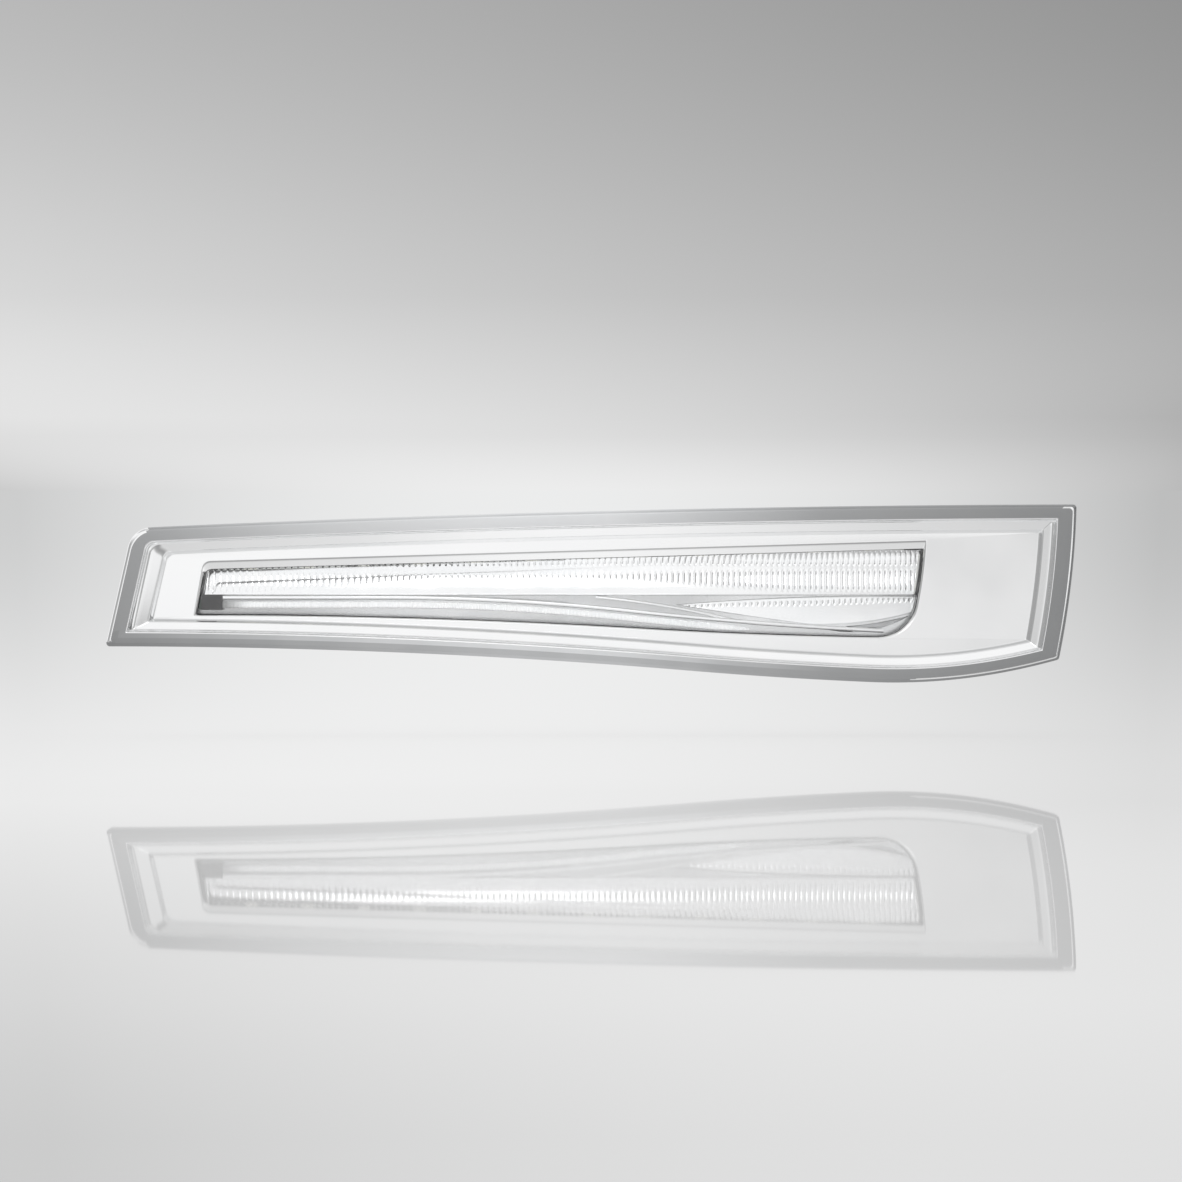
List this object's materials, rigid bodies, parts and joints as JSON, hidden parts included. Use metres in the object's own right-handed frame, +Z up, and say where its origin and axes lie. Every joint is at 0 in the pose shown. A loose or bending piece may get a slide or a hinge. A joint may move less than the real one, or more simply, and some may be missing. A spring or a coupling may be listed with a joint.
{
  "type": "daytime running light",
  "caption": "Slim tapered car daytime running light: stepped silver frame, clear window over fluted reflectors and a sweeping light strip, black rear housing with finned heat sink.",
  "frame": {"origin": "middle of the two fixing holes, on the plane of the fixing towers' rear faces", "axes": "+X along the lamp to its broad end (right in front view), +Z up, light leaves towards -Y"},
  "size_m": [0.2747, 0.053, 0.0504],
  "materials": {
    "bright_silver": "bright metallised silver moulding",
    "clear_polycarbonate": "clear polished plastic",
    "metallised": "vacuum metallised mirror coat",
    "satin_silver": "satin silver",
    "dark_grey": "fine matt",
    "black_plastic": "fine grained matt",
    "foam": "closed-cell foam",
    "sealant": "soft sealing bead",
    "white_board": "white solder resist",
    "green_board": "green solder resist",
    "diode": "phosphor",
    "heat_pad": "soft pad",
    "cast_aluminium": "bead blasted",
    "zinc_steel": "zinc plated",
    "brass": "plain"
  },
  "bodies": {
    "root": {"trim_frame": "bright_silver", "rim_seal": "foam", "outer_lens": "clear_polycarbonate", "lens_seal": "sealant", "upper_reflector": "metallised", "lower_reflector": "metallised", "inner_bezel": "satin_silver", "divider_blade": "metallised", "light_guide": "clear_polycarbonate", "guide_holder": "dark_grey", "guide_board": "green_board", "guide_diode": "diode", "diode_board": "white_board", "light_diodes": "diode", "thermal_pad": "heat_pad", "heat_sink": "cast_aluminium", "sink_gasket": "sealant", "sink_screws": "zinc_steel", "driver_board": "green_board", "driver_parts": "dark_grey", "rear_housing": "black_plastic", "connector_socket": "dark_grey", "connector_pins": "brass", "vent_cap": "dark_grey", "thread_inserts": "brass", "frame_screws": "zinc_steel"}
  },
  "joints": []
}
